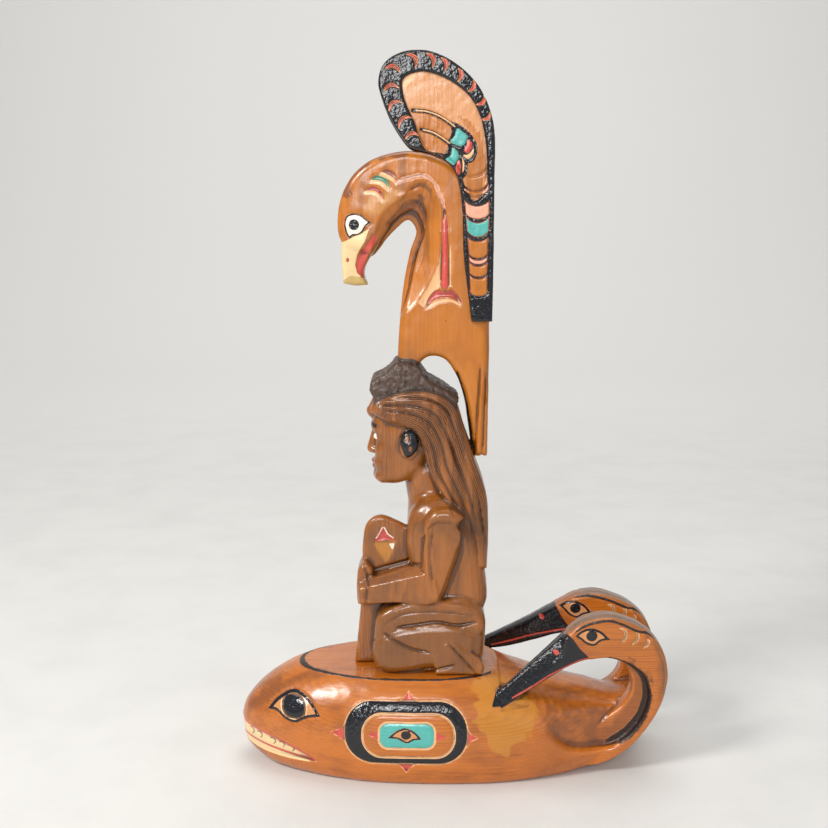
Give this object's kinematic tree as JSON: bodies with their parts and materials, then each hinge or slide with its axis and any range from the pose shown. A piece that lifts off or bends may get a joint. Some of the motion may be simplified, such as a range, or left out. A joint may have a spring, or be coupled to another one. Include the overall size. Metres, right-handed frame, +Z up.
{
  "type": "carved totem model",
  "caption": "Carved cedar totem model: a thunderbird over a seated man on the back of a whale whose tail rises as cranes.",
  "frame": {"origin": "centre of the overall box, on the plane it stands on", "axes": "+Z up along the carving's height, -X the way the whale, the man and the bird face, +Y to their right"},
  "size_m": [0.2361, 0.09, 0.3869],
  "materials": {
    "golden_cedar": "golden stain under gloss varnish, painted in black, red and teal",
    "brown_cedar": "brown stain under satin varnish, knife-cut",
    "painted_wing": "gloss black, red, teal and cream paint over bare cedar"
  },
  "bodies": {
    "root": {"whale_base": "golden_cedar", "man_and_thunderbird": "brown_cedar", "wing_left": "painted_wing", "wing_right": "painted_wing"}
  },
  "joints": []
}
